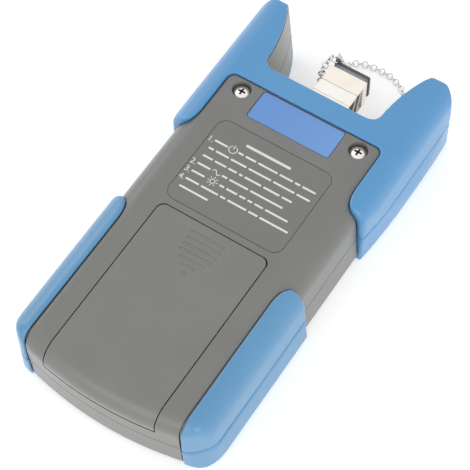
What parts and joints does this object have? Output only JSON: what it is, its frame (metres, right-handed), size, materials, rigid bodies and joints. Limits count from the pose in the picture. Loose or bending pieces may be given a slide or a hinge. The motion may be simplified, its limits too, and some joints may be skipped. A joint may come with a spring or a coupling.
{
  "type": "optical power meter",
  "caption": "Handheld optical power meter lying on its front: grey case with soft horned guard, battery door, capped optical connector on a small chain.",
  "frame": {"origin": "on the plane that the meter lies on, under the middle of the whole part's length and width", "axes": "+Z out of the back of the case, which faces up; +Y towards the horned end with the connector; +X to the right of that, seen from above the back"},
  "size_m": [0.0878, 0.188, 0.033],
  "materials": {
    "shell_abs": "fine textured grey ABS",
    "door_abs": "smooth grey ABS",
    "soft_blue": "satin light blue moulded elastomer",
    "foam": "closed cell foam",
    "screw_steel": "bright plated steel",
    "plate_blue": "gloss printed plastic",
    "label_film": "matt printed film",
    "cell_can": "lacquered steel can",
    "spring_steel": "nickel plated spring wire",
    "contact_nickel": "nickel plated strip",
    "board_green": "green solder resist",
    "chip_black": "moulded epoxy",
    "window_clear": "clear polycarbonate",
    "frame_black": "black plastic",
    "lcd_glass": "display glass",
    "backlight_white": "white light guide",
    "overlay_grey": "printed polyester sheet",
    "key_rubber": "silicone rubber",
    "connector_nickel": "bright nickel plating",
    "liner_grey": "light moulded plastic",
    "sleeve_ceramic": "white zirconia",
    "clip_steel": "spring steel",
    "can_gold": "gold plated can",
    "cap_grey": "moulded dark grey plastic",
    "chain_steel": "nickel plated wire"
  },
  "bodies": {
    "case": {"rear_shell": "shell_abs", "front_shell": "shell_abs", "rear_top_guard": "soft_blue", "front_top_guard": "soft_blue", "rear_left_grip": "soft_blue", "rear_right_grip": "soft_blue", "front_left_grip": "soft_blue", "front_right_grip": "soft_blue", "case_screws": "screw_steel", "name_plate": "plate_blue", "instruction_label": "label_film", "cell_left": "cell_can", "cell_middle": "cell_can", "cell_right": "cell_can", "battery_springs": "spring_steel", "battery_contacts": "contact_nickel", "main_board": "board_green", "board_chips": "chip_black", "buzzer": "chip_black", "board_screws": "screw_steel", "lcd_window": "window_clear", "lcd_frame": "frame_black", "lcd_glass": "lcd_glass", "backlight_panel": "backlight_white", "front_overlay": "overlay_grey", "keypad_web": "key_rubber", "connector_base": "connector_nickel", "connector_front": "connector_nickel", "connector_liner": "liner_grey", "ferrule_sleeve": "sleeve_ceramic", "connector_clips": "clip_steel", "flange_screws": "screw_steel", "detector_can": "can_gold", "detector_ring": "frame_black", "detector_board": "board_green", "cap_chain": "chain_steel"},
    "door": {"battery_door": "door_abs", "door_foam_pad": "foam"},
    "power_key": {"key_power": "key_rubber"},
    "wavelength_key": {"key_wavelength": "key_rubber"},
    "backlight_key": {"key_backlight": "key_rubber"},
    "mode_key": {"key_mode": "key_rubber"},
    "cap": {"dust_cap": "cap_grey", "cap_ring": "chain_steel"}
  },
  "joints": [
    {"name": "door_slide", "type": "slide", "parent": "case", "child": "door", "axis": [0, -1, 0], "range_m": [0, 0.07]},
    {"name": "power_key_press", "type": "slide", "parent": "case", "child": "power_key", "axis": [0, 0, 1], "range_m": [0, 0.0008], "stiffness_N_per_m": 600},
    {"name": "wavelength_key_press", "type": "slide", "parent": "case", "child": "wavelength_key", "axis": [0, 0, 1], "range_m": [0, 0.0008], "stiffness_N_per_m": 600},
    {"name": "backlight_key_press", "type": "slide", "parent": "case", "child": "backlight_key", "axis": [0, 0, 1], "range_m": [0, 0.0008], "stiffness_N_per_m": 600},
    {"name": "mode_key_press", "type": "slide", "parent": "case", "child": "mode_key", "axis": [0, 0, 1], "range_m": [0, 0.0008], "stiffness_N_per_m": 600},
    {"name": "cap_pull", "type": "slide", "parent": "case", "child": "cap", "axis": [0, 1, 0], "range_m": [0, 0.03], "deforming": ["cap_chain"]}
  ]
}
